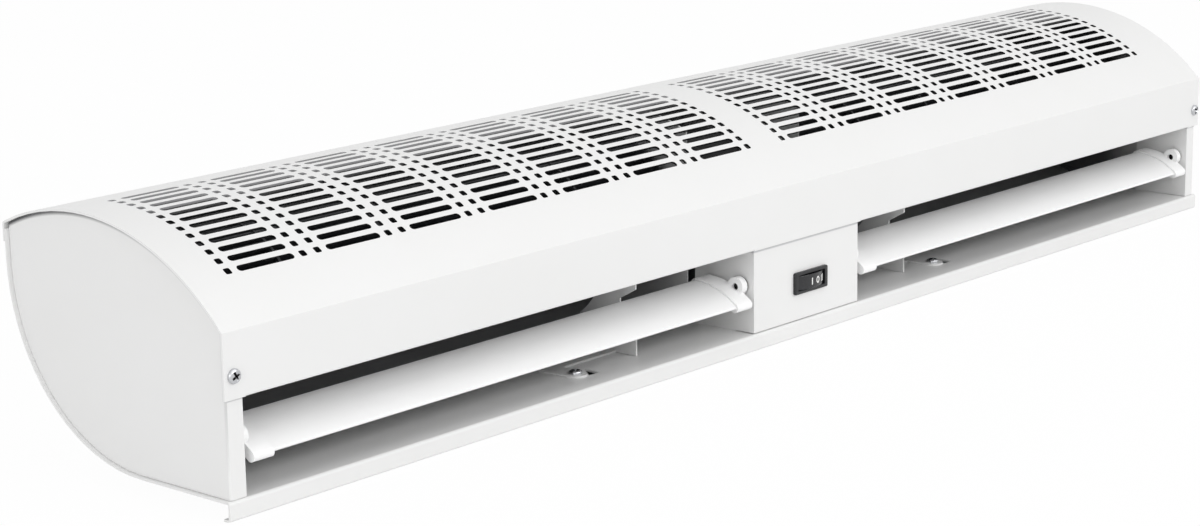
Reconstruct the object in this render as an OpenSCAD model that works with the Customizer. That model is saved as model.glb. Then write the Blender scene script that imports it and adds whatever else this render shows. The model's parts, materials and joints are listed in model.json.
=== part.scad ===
/* [Body] */
// Overall length, left to right
body_l = 900; // [700:10:1100]
// Depth of the casing, from the front face to its back
body_d = 161.6; // [158:0.2:166]
// Thickness of the steel sheet
sheet_t = 1.2; // [1:0.1:1.5]
// Outer radius of the casing's rolled back
back_r = 96.8; // [95:0.2:98]
// Height of the casing's back edge above the floor
casing_top = 111; // [108:0.5:112]
// How far casing and cover stand past the end plates
end_proud = 2; // [1:0.5:3]
// Gap round a sheet that lies inside another
fit_gap = 0.2; // [0.1:0.05:0.3]
// Height of the front lip that hides the gap to the wall
lip_h = 10; // [9:0.5:14]
// Width of the hem under the lip
hem_w = 4.6; // [4:0.1:6]
// Outer bend radius of the sheet
bend_r = 1.8; // [1.6:0.1:2.5]

/* [Cover] */
// Height of the cover's front edge above the floor
cover_front_z = 49.4; // [48.6:0.2:51]
// Height of the crease between the front strip and the rolled grille
crease_z = 82.4; // [80:0.2:84]
// Height of the rear corner of the rolled grille
cover_rear_z = 114.4; // [113.4:0.2:116]
// Outer radius of the rolled grille
cover_r = 141.4; // [139:0.2:144]
// Depth of the return under the front strip
return_d = 8; // [4:0.5:8]
// Height of the turned-down lip at the back
rear_lip_h = 10; // [8:0.5:11]

/* [Grille] */
// Rows of holes
grille_rows = 13; // [8:1:13]
// Distance between rows, along the rolled sheet
row_pitch = 7.4; // [6.5:0.1:7.8]
// Distance from the crease to the first row, along the rolled sheet
first_row = 33; // [30:0.5:40]
// Distance between columns
column_pitch = 58.1; // [50:0.1:60]
// Distance between the two lines of square holes that part two columns
dot_pitch = 9.6; // [8:0.1:11]
// Width of a slot, and size of a square hole
slot_w = 4; // [3:0.1:4.5]
// Solid strip between a slot and the square hole beside it
slot_land = 4; // [3:0.1:5]
// Distance from the left edge to the first square hole
grille_margin = 27; // [24:0.5:30]
// Distance from the middle to the first square hole of the right group
group_offset = 6.6; // [2:0.1:10]

/* [Outlets] */
// Width of the front flange of an end plate
flange_w = 10; // [8:0.5:14]
// Depth of the side walls of an outlet
outlet_wall_d = 41; // [36:1:44]
// Width of the control box
box_w = 100; // [96:1:110]
// Depth of the side walls of the control box
box_d = 45; // [42:1:46]
// Gap under the control box
box_lift = 0.5; // [0.3:0.1:1]
// Distance of a divider plate from the middle
divider_x = 128; // [110:1:150]
// Distance of a divider plate behind the front face
divider_y = 23; // [21:0.5:26]
// Depth of a divider plate
divider_d = 41.4; // [38:0.2:41.6]
// Distance of a divider's foot screw from the middle of the feet
foot_screw_x = 170; // [160:1:176]

/* [Vanes] */
// Width of a vane, across its chord
vane_chord = 31.8; // [30:0.2:33]
// Radius of the vane's crown
vane_r = 50; // [44:1:70]
// Thickness of a vane
vane_t = 2.2; // [1.8:0.1:2.4]
// Tilt of the vane's chord as stored
vane_tilt = 20; // [18:1:22]
// Distance of the vane's front edge behind the front face
vane_y = 1.2; // [0.6:0.1:2]
// Height of the vane's front edge above the floor
vane_z = 20; // [19:0.1:21]
// Length of an end cap
cap_l = 13; // [11:0.5:16]
// How far an end cap stands proud of the vane
cap_proud = 1.1; // [0.6:0.1:1.5]
// Distance from an outlet's side wall to an end cap
cap_gap = 4; // [3.6:0.1:5]
// Distance of the vane's pivot behind the front face
pivot_y = 10.5; // [10:0.5:11.5]
// Height of the vane's pivot above the floor
pivot_z = 28; // [27.5:0.5:28.5]
// Radius of the pivot eye on an end cap
eye_r = 5.5; // [5.2:0.1:5.8]
// Radius of the pivot pin
pivot_pin_r = 2; // [1.8:0.1:2.4]

/* [Fan] */
// Gap between the fan and the rolled back, where they come nearest
scroll_gap = 4.75; // [4.25:0.25:6]
// Angle below the horizontal at which they come nearest
scroll_a = 47.1; // [46:0.1:49]
// Outer radius of an impeller
fan_r = 45; // [43:0.5:45.5]
// Inner radius of the blade ring
fan_inner_r = 36; // [34:0.5:37]
// Blades of an impeller
blade_count = 30; // [20:2:32]
// Thickness of a blade
blade_t = 1; // [0.8:0.1:1.2]
// Cells of an impeller, between its rings
fan_cells = 5; // [3:1:7]
// Radius of the fan shaft
shaft_r = 4; // [3.5:0.5:5]
// Radial play of a pin or a shaft in its bearing
running_gap = 0.05; // [0.03:0.01:0.08]

/* [Motor] */
// Radius of the motor's barrel
motor_r = 38; // [34:1:39]
// Length of the motor's housing
motor_l = 62; // [58:1:64]
// Distance of a partition plate from the control box's side
partition_gap = 2.5; // [2:0.5:4]

/* [Switch] */
// Width of the switch bezel
bezel_w = 31; // [30.5:0.5:33]
// Height of the switch bezel
bezel_h = 13; // [12.5:0.5:14]
// Offset of the switch from the middle
switch_x = 2.4; // [-4:0.2:4]
// Height of the switch above the floor
switch_z = 22.5; // [20:0.5:26]

/* [Wall plate] */
// Length of the wall plate
wall_plate_l = 800; // [680:10:860]
// Thickness of the wall plate
wall_plate_t = 1.5; // [1.2:0.1:2]
// Distance between its wall holes, left to right
wall_hole_l = 600; // [400:10:620]
// Distance between its wall holes, front to back
wall_hole_w = 20; // [16:1:24]
// Radius of a wall hole
wall_hole_r = 3.25; // [2.75:0.25:3.5]

/* [Hidden] */

// Facets of a small and of a large round
$fn = 48;
large_fn = 240;
// Overrun of a cut past the face that it opens
cut = 1;

// Colours
white = "#f0f0ee";
dark = "#2b2d30";
zinc = "#b9bcc0";
black = "#1c1c1e";
brass = "#b08d4a";

// Sides of the body, and its ends
left = -1;
right = 1;
half_l = body_l / 2;
plate_x = half_l - end_proud;

// Casing: centre of the rolled back
back_cy = body_d - back_r;
back_cz = back_r - sheet_t;

// Cover: back face of its lip, and centre of the rolled grille
cover_back = body_d + sheet_t + fit_gap / 2;
function arc_centre(p, q, r) =
    let (d = norm(q - p), h = sqrt(r * r - d * d / 4))
    (p + q) / 2 + h / d * [q[1] - p[1], p[0] - q[0]];
cover_c = arc_centre([0, crease_z], [cover_back, cover_rear_z], cover_r);
crease_a = atan2(crease_z - cover_c[1], cover_c[0]);

// Inner face of cover and casing, and of the sheets that stand against them
inner_y = sheet_t + fit_gap;

// A height above everything
above_z = 2 * crease_z;

// Side walls of an outlet: control box and end plate
box_x = box_w / 2;
wall_x = plate_x - flange_w;
box_top = cover_front_z - 2 * fit_gap;
outlet_gap = 1;

// Fan axis, and the ends of an impeller
fan_off = back_r - sheet_t - scroll_gap - fan_r;
fan_y = back_cy + fan_off * cos(scroll_a);
fan_z = back_cz - fan_off * sin(scroll_a);
fan_gap = 6;
fan_end_x = wall_x - sheet_t - fan_gap;
partition_x = box_x + partition_gap;
fan_start_x = partition_x + sheet_t + fan_gap;
hub_r = 9;
hub_l = 10;

// Screws: shank, head and the play in a hole
screw_r = 2;
screw_head_r = 3.7;
screw_head_h = 2.2;
screw_rim_share = 0.6;
screw_crown_share = 0.7;
screw_play = 0.15;
screw_grip = 3;

// Wall plate: its flanges stand on the wall side of the casing's floor
wall_flange_w = 10;
wall_plate_w = 56;
wall_plate_y = 35.8;
wall_web_h = lip_h - sheet_t;
plate_screw_shares = [-0.45, -0.15, 0.15, 0.45];

// Places every piece against the centre of the wall holes
module placed() translate([0, -wall_plate_y, lip_h]) children();

// A section drawn front to back and upwards, made into a piece from x0 to x1
module along_x(x0, x1) translate([min(x0, x1), 0, 0]) rotate([90, 0, 90])
    linear_extrude(abs(x1 - x0)) children();

// A round bar along the length
module bar_x(x0, x1, r) translate([min(x0, x1), 0, 0]) rotate([0, 90, 0]) cylinder(abs(x1 - x0), r = r);

// A block from the lesser to the greater of two places along the length
module block_x(x0, x1, y, z, d, h) translate([min(x0, x1), y, z]) cube([abs(x1 - x0), d, h]);

// A rectangle with round corners, from its lower left corner
module round_rect(w, h, r) {
    translate([r, 0]) square([w - 2 * r, h]);
    translate([0, r]) square([w, h - 2 * r]);
    for (x = [r, w - r], y = [r, h - r]) translate([x, y]) circle(r);
}

// The space inside the casing, drawn in from its outer face, up to a height
module casing_space(inset, top) {
    floor_z = inset - sheet_t;
    translate([0, floor_z]) square([back_cy, top - floor_z]);
    translate([0, back_cz]) square([body_d - inset, top - back_cz]);
    intersection() {
        translate([back_cy, back_cz]) circle(back_r - inset, $fn = large_fn);
        translate([0, floor_z]) square([body_d, back_cz - floor_z + cut]);
    }
}

// The space under the cover, drawn in from its outer face
module cover_space(inset) intersection() {
    translate(cover_c) circle(cover_r - inset, $fn = large_fn);
    translate([inset, 0]) square([cover_back - 2 * inset, above_z]);
}

// The section that a plate fills, across casing and cover
module end_space(inset) intersection() {
    cover_space(inner_y + inset);
    casing_space(inner_y + inset, above_z);
}

// A pan-head screw: its head stands on the origin, and its shank points down
module screw(grip) {
    rim_h = screw_rim_share * screw_head_h;
    cylinder(rim_h, r = screw_head_r);
    translate([0, 0, rim_h])
        cylinder(screw_head_h - rim_h, r1 = screw_head_r, r2 = screw_crown_share * screw_head_r);
    translate([0, 0, -grip]) cylinder(grip, r = screw_r);
}

// The hole for such a screw
module screw_hole() translate([0, 0, -2 * screw_grip]) cylinder(4 * screw_grip, r = screw_r + screw_play);

// Screws that hold the cover, at the front and at the back
cover_screw_up = 11.5;
rear_screw_share = 0.7;
module front_screw_places() for (side = [left, right])
    translate([side * (wall_x + flange_w / 2 + end_proud / 2), 0, cover_front_z + cover_screw_up])
        rotate([90, 0, 0]) children();
module rear_screw_places() for (x = [-rear_screw_share, 0, rear_screw_share])
    translate([x * half_l, cover_back, (cover_rear_z - rear_lip_h + casing_top) / 2])
        rotate([-90, 0, 0]) children();
module plate_screw_places() for (x = plate_screw_shares)
    translate([x * wall_plate_l, wall_plate_y + (wall_plate_w - wall_flange_w + wall_plate_t) / 2,
        -sheet_t - wall_plate_t])
        rotate([180, 0, 0]) children();

module rear_casing() color(white) difference() {
    along_x(-half_l, half_l) {
        difference() {
            casing_space(0, casing_top);
            casing_space(sheet_t, casing_top + cut);
            translate([-cut, -2 * sheet_t]) square([bend_r + cut, 2 * casing_top]);
        }
        difference() {
            translate([0, -lip_h]) round_rect(2 * hem_w, lip_h, bend_r);
            translate([sheet_t, sheet_t - lip_h])
                round_rect(2 * hem_w, lip_h - 2 * sheet_t, bend_r - sheet_t);
            translate([hem_w, -lip_h - cut]) square([2 * hem_w, lip_h - sheet_t + cut]);
        }
    }
    rear_screw_places() screw_hole();
    plate_screw_places() screw_hole();
    divider_screw_places() screw_hole();
    box_screw_places() screw_hole();
    motor_screw_places() screw_hole();
    foot_windows();
    grommet_place() cylinder(2 * grommet_t, r = grommet_r, center = true);
}

// The holes of one row: groups of slots, each slot between two square holes
column_count = floor((half_l - grille_margin) / column_pitch);
column_l = column_pitch - dot_pitch;
slot_l = column_l - slot_w - 2 * slot_land;
module grille_row() for (start = [grille_margin - half_l, group_offset], c = [0 : column_count - 1])
    translate([start + c * column_pitch, 0]) {
        for (x = [0, column_l]) translate([x, 0]) square(slot_w, center = true);
        translate([column_l / 2, 0]) square([slot_l - slot_w, slot_w], center = true);
        for (s = [left, right]) translate([column_l / 2 + s * (slot_l - slot_w) / 2, 0]) circle(slot_w / 2);
    }

module front_cover() color(white) difference() {
    union() {
        along_x(-half_l, half_l) difference() {
            cover_space(0);
            cover_space(sheet_t);
            translate([-cut, -cut]) square([body_d / 2, cover_front_z + cut]);
            translate([body_d / 3, -cut]) square([body_d, cover_rear_z - rear_lip_h + cut]);
        }
        for (side = [left, right])
            block_x(side * (box_x + outlet_gap), side * (wall_x - outlet_gap),
                sheet_t / 2, cover_front_z, return_d - sheet_t / 2, sheet_t);
    }
    for (row = [0 : grille_rows - 1]) {
        a = crease_a + (first_row + row * row_pitch) / cover_r * 180 / PI;
        translate([0, cover_c[0], cover_c[1]]) rotate([90 - a, 0, 0])
            translate([0, 0, cover_r - 2 * sheet_t]) linear_extrude(3 * sheet_t) grille_row();
    }
    front_screw_places() screw_hole();
    rear_screw_places() screw_hole();
}

// An end plate: a flanged pan, with a front flange and a side wall for the outlet
rim_w = 8;
// The bend of its front corner: its arc meets both faces at a slight angle
bend_centre_share = 0.95;
plate_bend_c = bend_r * bend_centre_share;
plate_bend_w = plate_bend_c - sqrt(bend_r ^ 2 - plate_bend_c ^ 2);
module end_plate(side) color(white) difference() {
    union() {
        along_x(side * (plate_x - sheet_t), side * plate_x) end_space(0);
        along_x(side * (plate_x - rim_w), side * plate_x) difference() {
            end_space(0);
            end_space(sheet_t);
        }
        block_x(side * wall_x, side * plate_x, inner_y, fit_gap, sheet_t, crease_z - 2 * sheet_t);
        block_x(side * wall_x, side * (wall_x + sheet_t), inner_y, fit_gap,
            outlet_wall_d - inner_y, box_top - fit_gap);
    }
    translate([side * plate_x, inner_y, -cut]) linear_extrude(crease_z + 4 * cut) difference() {
        translate([side > 0 ? -plate_bend_w : -cut, -cut]) square(plate_bend_w + cut);
        translate([-side * plate_bend_c, plate_bend_c]) circle(bend_r);
    }
    front_screw_places() screw_hole();
    pivot_places() rivet_hole();
}
module left_end_plate() end_plate(left);
module right_end_plate() end_plate(right);

// The wall plate: a hat section with four wall holes
module wall_plate() color(zinc) difference() {
    base_w = wall_plate_w - 2 * wall_flange_w + 2 * wall_plate_t;
    along_x(-wall_plate_l / 2, wall_plate_l / 2) translate([wall_plate_y, -lip_h]) {
        translate([-base_w / 2, 0]) square([base_w, wall_plate_t]);
        for (s = [-1, 1]) {
            translate([s * (base_w - wall_plate_t) / 2 - wall_plate_t / 2, 0])
                square([wall_plate_t, wall_web_h]);
            translate([s * (wall_plate_w - wall_flange_w) / 2 - wall_flange_w / 2, wall_web_h - wall_plate_t])
                square([wall_flange_w, wall_plate_t]);
        }
    }
    for (x = [-1, 1], y = [-1, 1])
        translate([x * wall_hole_l / 2, wall_plate_y + y * wall_hole_w / 2, -lip_h - cut])
            cylinder(wall_plate_t + 2 * cut, r = wall_hole_r);
    plate_screw_places() screw_hole();
}

// The control box: a front panel and two side walls, screwed down by their feet
box_foot_w = 12;
box_foot_y = 15;
panel_tuck = 6;
module box_screw_places() for (side = [left, right])
    translate([side * (box_x - box_foot_w / 2), box_d - box_foot_w / 2, sheet_t]) children();
module control_box() color(white) difference() {
    union() {
        block_x(-box_x, box_x, inner_y, box_lift, sheet_t, box_top + panel_tuck - box_lift);
        for (side = [left, right]) {
            block_x(side * (box_x - sheet_t), side * box_x, inner_y, box_lift,
                box_d - inner_y, box_top - box_lift);
            block_x(side * (box_x - box_foot_w), side * box_x, box_foot_y, 0, box_d - box_foot_y, sheet_t);
        }
    }
    translate([switch_x - barrel_w / 2 - fit_gap, 0, switch_z - barrel_h / 2 - fit_gap])
        cube([barrel_w + 2 * fit_gap, 2 * inner_y, barrel_h + 2 * fit_gap]);
    pivot_places() rivet_hole();
    box_screw_places() screw_hole();
}

// The switch body: bezel, barrel and three tabs
bezel_t = 2;
bezel_corner_r = 1;
barrel_w = 28;
barrel_h = 11.4;
barrel_d = 22;
tab_w = 6.3;
tab_t = 0.8;
tab_l = 7;
tab_pitch = 9;
rocker_y = 4;
rocker_r = 13.2;
rocker_h = 8.4;
rocker_gap = 0.35;
rocker_pin_r = 1;
rocker_pin_l = 0.9;
rocker_edge = 4.4;
rocker_crown = 6.4;
rocker_back = 2;
module switch_body() color(black) difference() {
    union() {
        translate([switch_x - bezel_w / 2, inner_y, switch_z - bezel_h / 2]) rotate([90, 0, 0])
            linear_extrude(bezel_t) round_rect(bezel_w, bezel_h, bezel_corner_r);
        translate([switch_x - barrel_w / 2, 0, switch_z - barrel_h / 2])
            cube([barrel_w, barrel_d, barrel_h]);
        for (i = [-1 : 1])
            translate([switch_x + i * tab_pitch - tab_w / 2, barrel_d - cut, switch_z - tab_t / 2])
                cube([tab_w, tab_l + cut, tab_t]);
    }
    translate([switch_x, rocker_y, switch_z]) {
        cylinder(rocker_h + 2 * rocker_gap, r = rocker_r + rocker_gap, center = true);
        cylinder(rocker_h + 2 * rocker_gap + 2 * rocker_pin_l, r = rocker_pin_r + running_gap, center = true);
    }
}

// The rocker: a crowned key on two pins
module switch_rocker() color(dark) translate([switch_x, rocker_y, switch_z]) {
    crown_half = rocker_r / 3;
    linear_extrude(rocker_h, center = true) intersection() {
        circle(rocker_r);
        polygon([[-rocker_r, rocker_back], [-rocker_r, -rocker_edge], [-crown_half, -rocker_crown],
            [crown_half, -rocker_crown], [rocker_r, -rocker_edge], [rocker_r, rocker_back]]);
    }
    cylinder(rocker_h + 2 * rocker_pin_l, r = rocker_pin_r, center = true);
}

// A vane's section: a bow of even thickness with round edges, its chord along the first axis
module bow(above, below) {
    sag = vane_r - sqrt(vane_r * vane_r - vane_chord * vane_chord / 4);
    half_a = asin(vane_chord / 2 / vane_r);
    mid_r = vane_r + (above - below) / 2;
    span = 2 * vane_r;
    translate([vane_chord / 2, sag - vane_r]) {
        difference() {
            circle(vane_r + above, $fn = large_fn);
            circle(vane_r - below, $fn = large_fn);
            rotate(half_a) translate([-span, -span]) square([span, 2 * span]);
            rotate(-half_a) translate([0, -span]) square([span, 2 * span]);
            translate([-span, -2 * span]) square([2 * span, 2 * span]);
        }
        for (s = [-1, 1]) rotate(s * half_a) translate([0, mid_r]) circle((above + below) / 2);
    }
}
module vane_frame() translate([vane_y, vane_z]) rotate(vane_tilt) children();

module vane(side) color(white)
    along_x(side * (box_x + cap_gap + cap_l / 2), side * (wall_x - cap_gap - cap_l / 2))
        vane_frame() bow(0, vane_t);
module left_vane() vane(left);
module right_vane() vane(right);

// The two end caps of a vane, each a socket with a pivot eye
cap_below = 2.4;
cap_play = 0.1;
eye_overlap = 2;
eye_gap = 0.4;
module vane_caps(side) color(white) for (end = [[box_x, 1], [wall_x, -1]]) {
    into = side * end[1];
    wall = side * end[0];
    cap_x = wall + into * cap_gap;
    difference() {
        union() {
            along_x(cap_x, cap_x + into * cap_l) vane_frame() bow(cap_proud, vane_t + cap_below);
            along_x(wall + into * (pin_flange_t + eye_gap), cap_x + into * eye_overlap)
                translate([pivot_y, pivot_z]) circle(eye_r);
        }
        along_x(cap_x + into * (cap_l / 2 - cap_play), cap_x + into * (cap_l + cut))
            vane_frame() bow(cap_play, vane_t + cap_play);
        along_x(wall, cap_x + into * (eye_overlap + cut))
            translate([pivot_y, pivot_z]) circle(pivot_pin_r + running_gap);
    }
}
module left_vane_caps() vane_caps(left);
module right_vane_caps() vane_caps(right);

// The four pivot pins, each riveted through the wall beside it
pin_flange_t = 1;
pin_flange_r = 5;
pin_end_in = 1.5;
rivet_r = 2;
rivet_play = 0.02;
rivet_head_r = 3.2;
rivet_head_t = 0.8;
module pivot_places() for (side = [left, right], end = [[box_x, 1], [wall_x, -1]])
    translate([side * end[0], pivot_y, pivot_z]) rotate([0, side * end[1] * 90, 0]) children();
module rivet_hole() translate([0, 0, -2 * sheet_t]) cylinder(3 * sheet_t, r = rivet_r);
module vane_pivots() color(zinc) pivot_places() {
    cylinder(pin_flange_t, r = pin_flange_r);
    cylinder(cap_gap + eye_overlap - pin_end_in, r = pivot_pin_r);
    translate([0, 0, -sheet_t - rivet_head_t]) {
        cylinder(sheet_t + rivet_head_t, r = rivet_r - rivet_play);
        cylinder(rivet_head_t, r = rivet_head_r);
    }
}

// A divider plate: it stands across the outlet on a foot, and is cut round vane and fan
divider_fan_gap = 8;
divider_top = cover_front_z - sheet_t;
notch_low = 13;
notch_high = 38.5;
notch_back = 11.5;
notch_back_high = 32;
foot_w = 12;
foot_share = 0.77;
foot_y = foot_share * back_cy - foot_w;
foot_shift = -10;
foot_screw_y = 23;
lug_r = 6.5;
function foot_x(side) = side * foot_screw_x + foot_shift;
module divider(side) color(white) difference() {
    union() {
        along_x(side * divider_x, side * (divider_x + sheet_t)) difference() {
            intersection() {
                casing_space(sheet_t + fit_gap, above_z);
                translate([divider_y, 0]) square([divider_d, divider_top]);
            }
            translate([fan_y, fan_z]) circle(fan_r + divider_fan_gap, $fn = large_fn);
            polygon([[divider_y - cut, notch_low], [divider_y + notch_back, notch_low],
                [divider_y + notch_back, notch_back_high],
                [divider_y, notch_high], [divider_y - cut, notch_high]]);
        }
        translate([foot_x(side), 0]) linear_extrude(sheet_t) {
            translate([0, foot_screw_y]) circle(lug_r);
            translate([-lug_r, foot_screw_y]) square([2 * lug_r, foot_y + foot_w - foot_screw_y]);
        }
        block_x(side * divider_x, foot_x(side) + side * lug_r, foot_y, 0, foot_w, sheet_t);
    }
    divider_screw_places() screw_hole();
}
module left_divider() divider(left);
module right_divider() divider(right);
module divider_screw_places() for (side = [left, right])
    translate([foot_x(side), foot_screw_y, sheet_t]) children();

// A three-cornered window in the casing's floor, beside a foot's lug
window_w = 8.5;
window_d = 11.5;
window_y = -5.5;
window_clear = 5;
module foot_windows() for (side = [left, right])
    translate([foot_x(side) + window_clear, foot_screw_y + window_y, -2 * sheet_t])
        linear_extrude(4 * sheet_t) polygon([[0, 0], [window_w, 0], [window_w, window_d]]);

// A tongue: the plate over the outlet that closes on the fan
tongue_gap = 4;
tongue_rise = 16;
tongue_curl = 26;
tongue_dip_a = 4;
module tongue(side) color(white) {
    reach = fan_r + tongue_gap;
    nose = [fan_y, fan_z] - reach * [cos(tongue_dip_a), sin(tongue_dip_a)];
    front = [inner_y + fit_gap, cover_front_z + sheet_t + fit_gap];
    along_x(side * (partition_x + sheet_t + fit_gap), side * (wall_x - outlet_gap)) {
        translate(front) square([sheet_t, tongue_rise]);
        polygon([front, nose, nose + [0, sheet_t], front + [0, sheet_t]]);
        intersection() {
            translate([fan_y, fan_z]) difference() {
                circle(reach + sheet_t, $fn = large_fn);
                circle(reach, $fn = large_fn);
            }
            translate([0, nose[1]]) square([fan_y - reach / 2, tongue_curl]);
        }
    }
}
module left_tongue() tongue(left);
module right_tongue() tongue(right);

// One blade, as a section: a curved strip between the inner and the outer radius
blade_r_share = 0.9;
blade_hang_share = 0.6;
module blade_section() {
    blade_r = blade_r_share * (fan_r - fan_inner_r);
    intersection() {
        difference() {
            circle(fan_r - blade_t / 2);
            circle(fan_inner_r);
        }
        translate([(fan_r + fan_inner_r) / 2, -blade_hang_share * blade_r]) difference() {
            circle(blade_r);
            circle(blade_r - blade_t);
        }
        translate([fan_inner_r - blade_r, -blade_r / 2]) square([2 * blade_r + blade_r, 3 * blade_r]);
    }
}

// An impeller: blades through thin rings, closed by two discs, with a hub and a stub shaft
fan_ring_t = 1.6;
fan_ring_w = 11;
stub_gap = 1.2;
module impeller(side) color(dark) translate([0, fan_y, fan_z]) difference() {
    l = fan_end_x - fan_start_x;
    union() {
        along_x(side * fan_start_x, side * fan_end_x) for (i = [0 : blade_count - 1])
            rotate(i * 360 / blade_count) blade_section();
        for (i = [1 : fan_cells - 1]) {
            x = side * (fan_start_x + i * l / fan_cells);
            difference() {
                bar_x(x - fan_ring_t / 2, x + fan_ring_t / 2, fan_r);
                bar_x(x - fan_ring_t, x + fan_ring_t, fan_r - fan_ring_w);
            }
        }
        for (x = [fan_start_x, fan_end_x - fan_ring_t]) bar_x(side * x, side * (x + fan_ring_t), fan_r);
        bar_x(side * fan_start_x, side * (fan_start_x + hub_l), hub_r);
        bar_x(side * (fan_end_x - hub_l), side * fan_end_x, hub_r);
        bar_x(side * (fan_end_x - hub_l), side * (plate_x - sheet_t - stub_gap), shaft_r);
    }
    bar_x(side * (fan_start_x - cut), side * (fan_start_x + hub_l + cut), shaft_r + running_gap);
}
module left_impeller() impeller(left);
module right_impeller() impeller(right);

// The motor: a barrel between two stepped end bells, with a boss at each end
bell_t = 8;
bell_step = 8;
boss_r = 11;
boss_l = 6;
module motor_housing() color(zinc) translate([0, fan_y, fan_z]) difference() {
    union() {
        bar_x(bell_t - motor_l / 2, motor_l / 2 - bell_t, motor_r);
        bar_x(-motor_l / 2, motor_l / 2, motor_r - bell_step);
        bar_x(-motor_l / 2 - boss_l, motor_l / 2 + boss_l, boss_r);
    }
    bar_x(-motor_l, motor_l, shaft_r + running_gap);
}
module motor_shaft() color(zinc) translate([0, fan_y, fan_z])
    bar_x(-fan_start_x - hub_l, fan_start_x + hub_l, shaft_r);

// Rubber rings on the motor's bosses, held between bracket and straps
ring_r = 15;
ring_gap = 1;
strap_t = 1.5;
module motor_rings() color(black) translate([0, fan_y, fan_z]) for (side = [left, right]) difference() {
    bar_x(side * (motor_l / 2 + ring_gap), side * (motor_l / 2 + boss_l), ring_r);
    bar_x(side * motor_l / 2, side * (motor_l / 2 + 2 * boss_l), boss_r);
}

// The motor's bracket: a foot on the floor and two uprights that reach back to the bosses
bracket_t = 2;
bracket_share = 0.556;
bracket_y = bracket_share * back_cy;
bracket_foot_d = 16;
bracket_half_w = 22;
bracket_drop = 44;
bracket_end = 0.5;
bracket_x = motor_l / 2 + boss_l - bracket_t - bracket_end;
bracket_screw_in = 8;
module bracket_place(side) along_x(side * bracket_x, side * (bracket_x + bracket_t)) children();
module motor_bracket() color(zinc) difference() {
    union() {
        block_x(-bracket_x, bracket_x, bracket_y, 0, bracket_foot_d, bracket_t);
        for (side = [left, right]) bracket_place(side)
            polygon([[bracket_y, 0], [bracket_y + bracket_foot_d, 0],
                [fan_y + bracket_half_w, fan_z - bracket_drop], [fan_y + bracket_half_w, fan_z],
                [fan_y - bracket_half_w, fan_z]]);
    }
    translate([0, fan_y, fan_z]) bar_x(-motor_l, motor_l, ring_r);
    motor_screw_places() screw_hole();
}
module motor_screw_places() for (side = [left, right])
    translate([side * (bracket_x - bracket_screw_in), bracket_y + bracket_foot_d / 2, bracket_t]) children();
module motor_straps() color(zinc) for (side = [left, right]) bracket_place(side) intersection() {
    translate([fan_y, fan_z]) difference() {
        circle(ring_r + strap_t);
        circle(ring_r);
    }
    translate([fan_y - 2 * ring_r, fan_z]) square([4 * ring_r, 2 * ring_r]);
}

// A partition between fan and motor
partition_ahead = 3;
partition_y = fan_y - fan_r - partition_ahead;
module partition(side) color(white) difference() {
    along_x(side * partition_x, side * (partition_x + sheet_t)) intersection() {
        end_space(fit_gap);
        translate([partition_y, 0]) square([body_d, above_z]);
    }
    translate([0, fan_y, fan_z]) bar_x(-half_l, half_l, hub_r + cut);
}
module left_partition() partition(left);
module right_partition() partition(right);

// End bearings: a dished steel carrier on the end plate, a rubber in it and a brass bush
carrier_r = 22;
carrier_t = 1.5;
carrier_h = 7;
rubber_r = 13;
rubber_lift = 0.5;
bush_r = 7;
bush_l = 8;
module bearing_places() for (side = [left, right])
    translate([side * (plate_x - sheet_t), fan_y, fan_z]) rotate([0, -side * 90, 0]) children();
module bearing_carriers() color(zinc) bearing_places() difference() {
    union() {
        cylinder(carrier_t, r = carrier_r);
        cylinder(carrier_h, r = rubber_r + carrier_t);
    }
    translate([0, 0, -cut]) cylinder(carrier_h + 2 * cut, r = rubber_r);
}
module bearing_rubbers() color(black) bearing_places() difference() {
    translate([0, 0, rubber_lift]) cylinder(carrier_h - rubber_lift, r = rubber_r);
    cylinder(2 * carrier_h, r = bush_r);
}
module bearing_bushes() color(brass) bearing_places() difference() {
    translate([0, 0, rubber_lift]) cylinder(bush_l, r = bush_r);
    cylinder(2 * bush_l, r = shaft_r + running_gap);
}

// Electrical pieces in the control box
capacitor_size = [18, 14, 32];
capacitor_at = [-46, 14, 4.4];
capacitor_tab = [4.8, 0.8, 8];
capacitor_tab_pitch = 8;
clip_t = 1.2;
clip_w = 9;
clip_up = 4;
terminal_size = [22, 14, 13];
terminal_gap = 2;
terminal_at = [12, bracket_y - terminal_gap - terminal_size[1], 0];
terminal_count = 3;
terminal_well = [5, 9, 5];
module capacitor() color("#e8e6df") translate(capacitor_at) {
    cube(capacitor_size);
    for (s = [-1, 1])
        translate([(capacitor_size[0] + s * capacitor_tab_pitch - capacitor_tab[0]) / 2,
            capacitor_size[1] / 2, capacitor_size[2]]) cube(capacitor_tab);
}
module capacitor_clip() color(zinc) difference() {
    block_x(fit_gap / 2 + sheet_t - box_x, capacitor_at[0] + capacitor_size[0] + clip_t,
        capacitor_at[1] - clip_t, capacitor_at[2] + clip_up, capacitor_size[1] + 2 * clip_t, clip_w);
    translate(capacitor_at) cube(capacitor_size);
}
module terminal_block() color("#f4f3ee") translate(terminal_at) difference() {
    cube(terminal_size);
    pitch = terminal_size[0] / terminal_count;
    for (i = [0 : terminal_count - 1])
        translate([(i + 1 / 2) * pitch - terminal_well[0] / 2, (terminal_size[1] - terminal_well[1]) / 2,
            terminal_size[2] - terminal_well[2]]) cube(terminal_well + [0, 0, cut]);
}

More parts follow.
